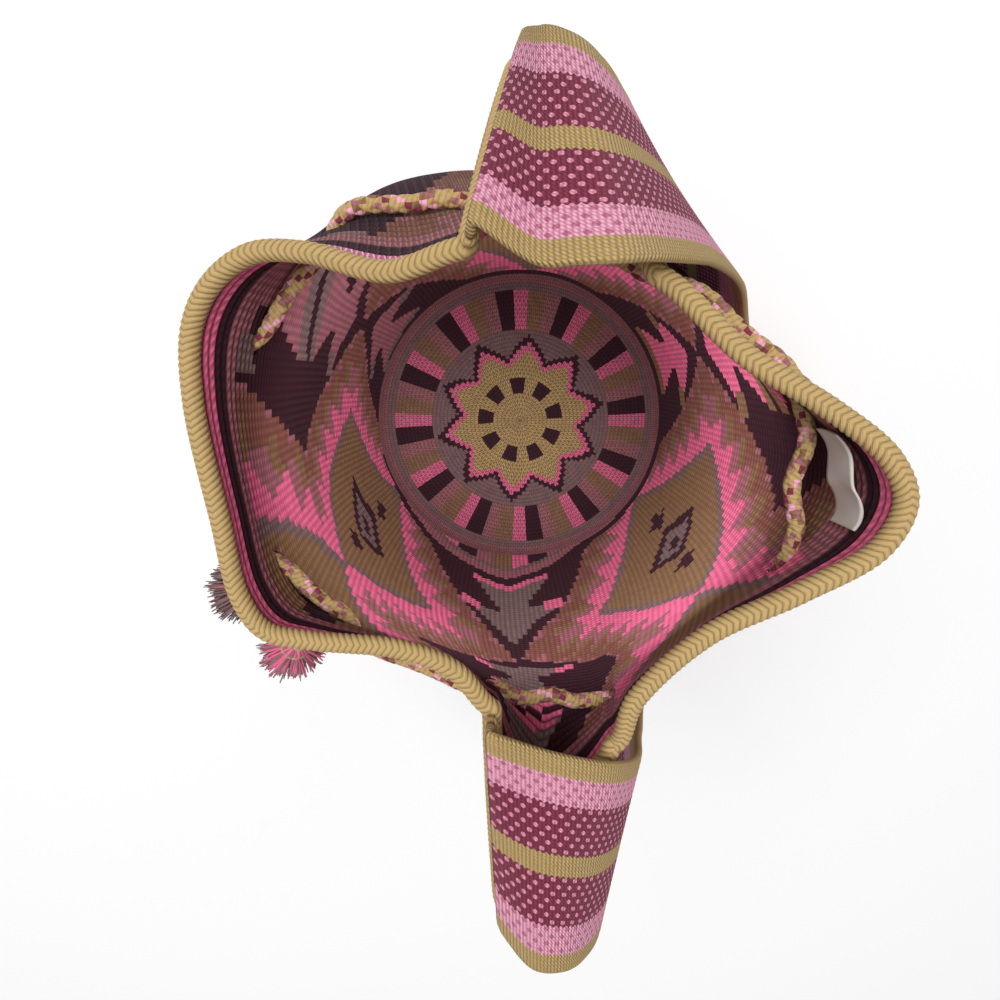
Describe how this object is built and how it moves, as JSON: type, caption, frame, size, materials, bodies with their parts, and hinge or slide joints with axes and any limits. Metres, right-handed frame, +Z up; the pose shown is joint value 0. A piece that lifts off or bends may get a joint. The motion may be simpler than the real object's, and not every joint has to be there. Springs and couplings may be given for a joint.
{
  "type": "wayuu mochila bag",
  "caption": "Crocheted bucket shoulder bag standing open, with a rolled rim, a laced drawstring with tassels and a wide woven strap lying over to one side.",
  "frame": {"origin": "centre of the round base's underside, where the bag rests", "axes": "+Z up out of the mouth, +X toward the side the strap lies on, +Y toward the rear end of the strap"},
  "size_m": [0.3926, 0.3218, 0.3112],
  "materials": {
    "crochet_wall": "matte crochet",
    "khaki_crochet": "matte crochet",
    "woven_strap": "matte weave",
    "braided_cord": "matte braid",
    "white_ribbon": "satin ribbon",
    "pink_yarn": "loose yarn",
    "grey_yarn": "loose yarn"
  },
  "bodies": {
    "root": {"bag_body": "crochet_wall", "rim_edging": "khaki_crochet", "strap": "woven_strap", "strap_join_rear": "khaki_crochet", "strap_join_front": "khaki_crochet", "drawstring": "braided_cord", "drawstring_tail_pink": "braided_cord", "drawstring_tail_grey": "braided_cord", "label": "white_ribbon", "tassel_pink": "pink_yarn", "tassel_binding_pink": "khaki_crochet", "tassel_grey": "grey_yarn", "tassel_binding_grey": "khaki_crochet"}
  },
  "joints": []
}
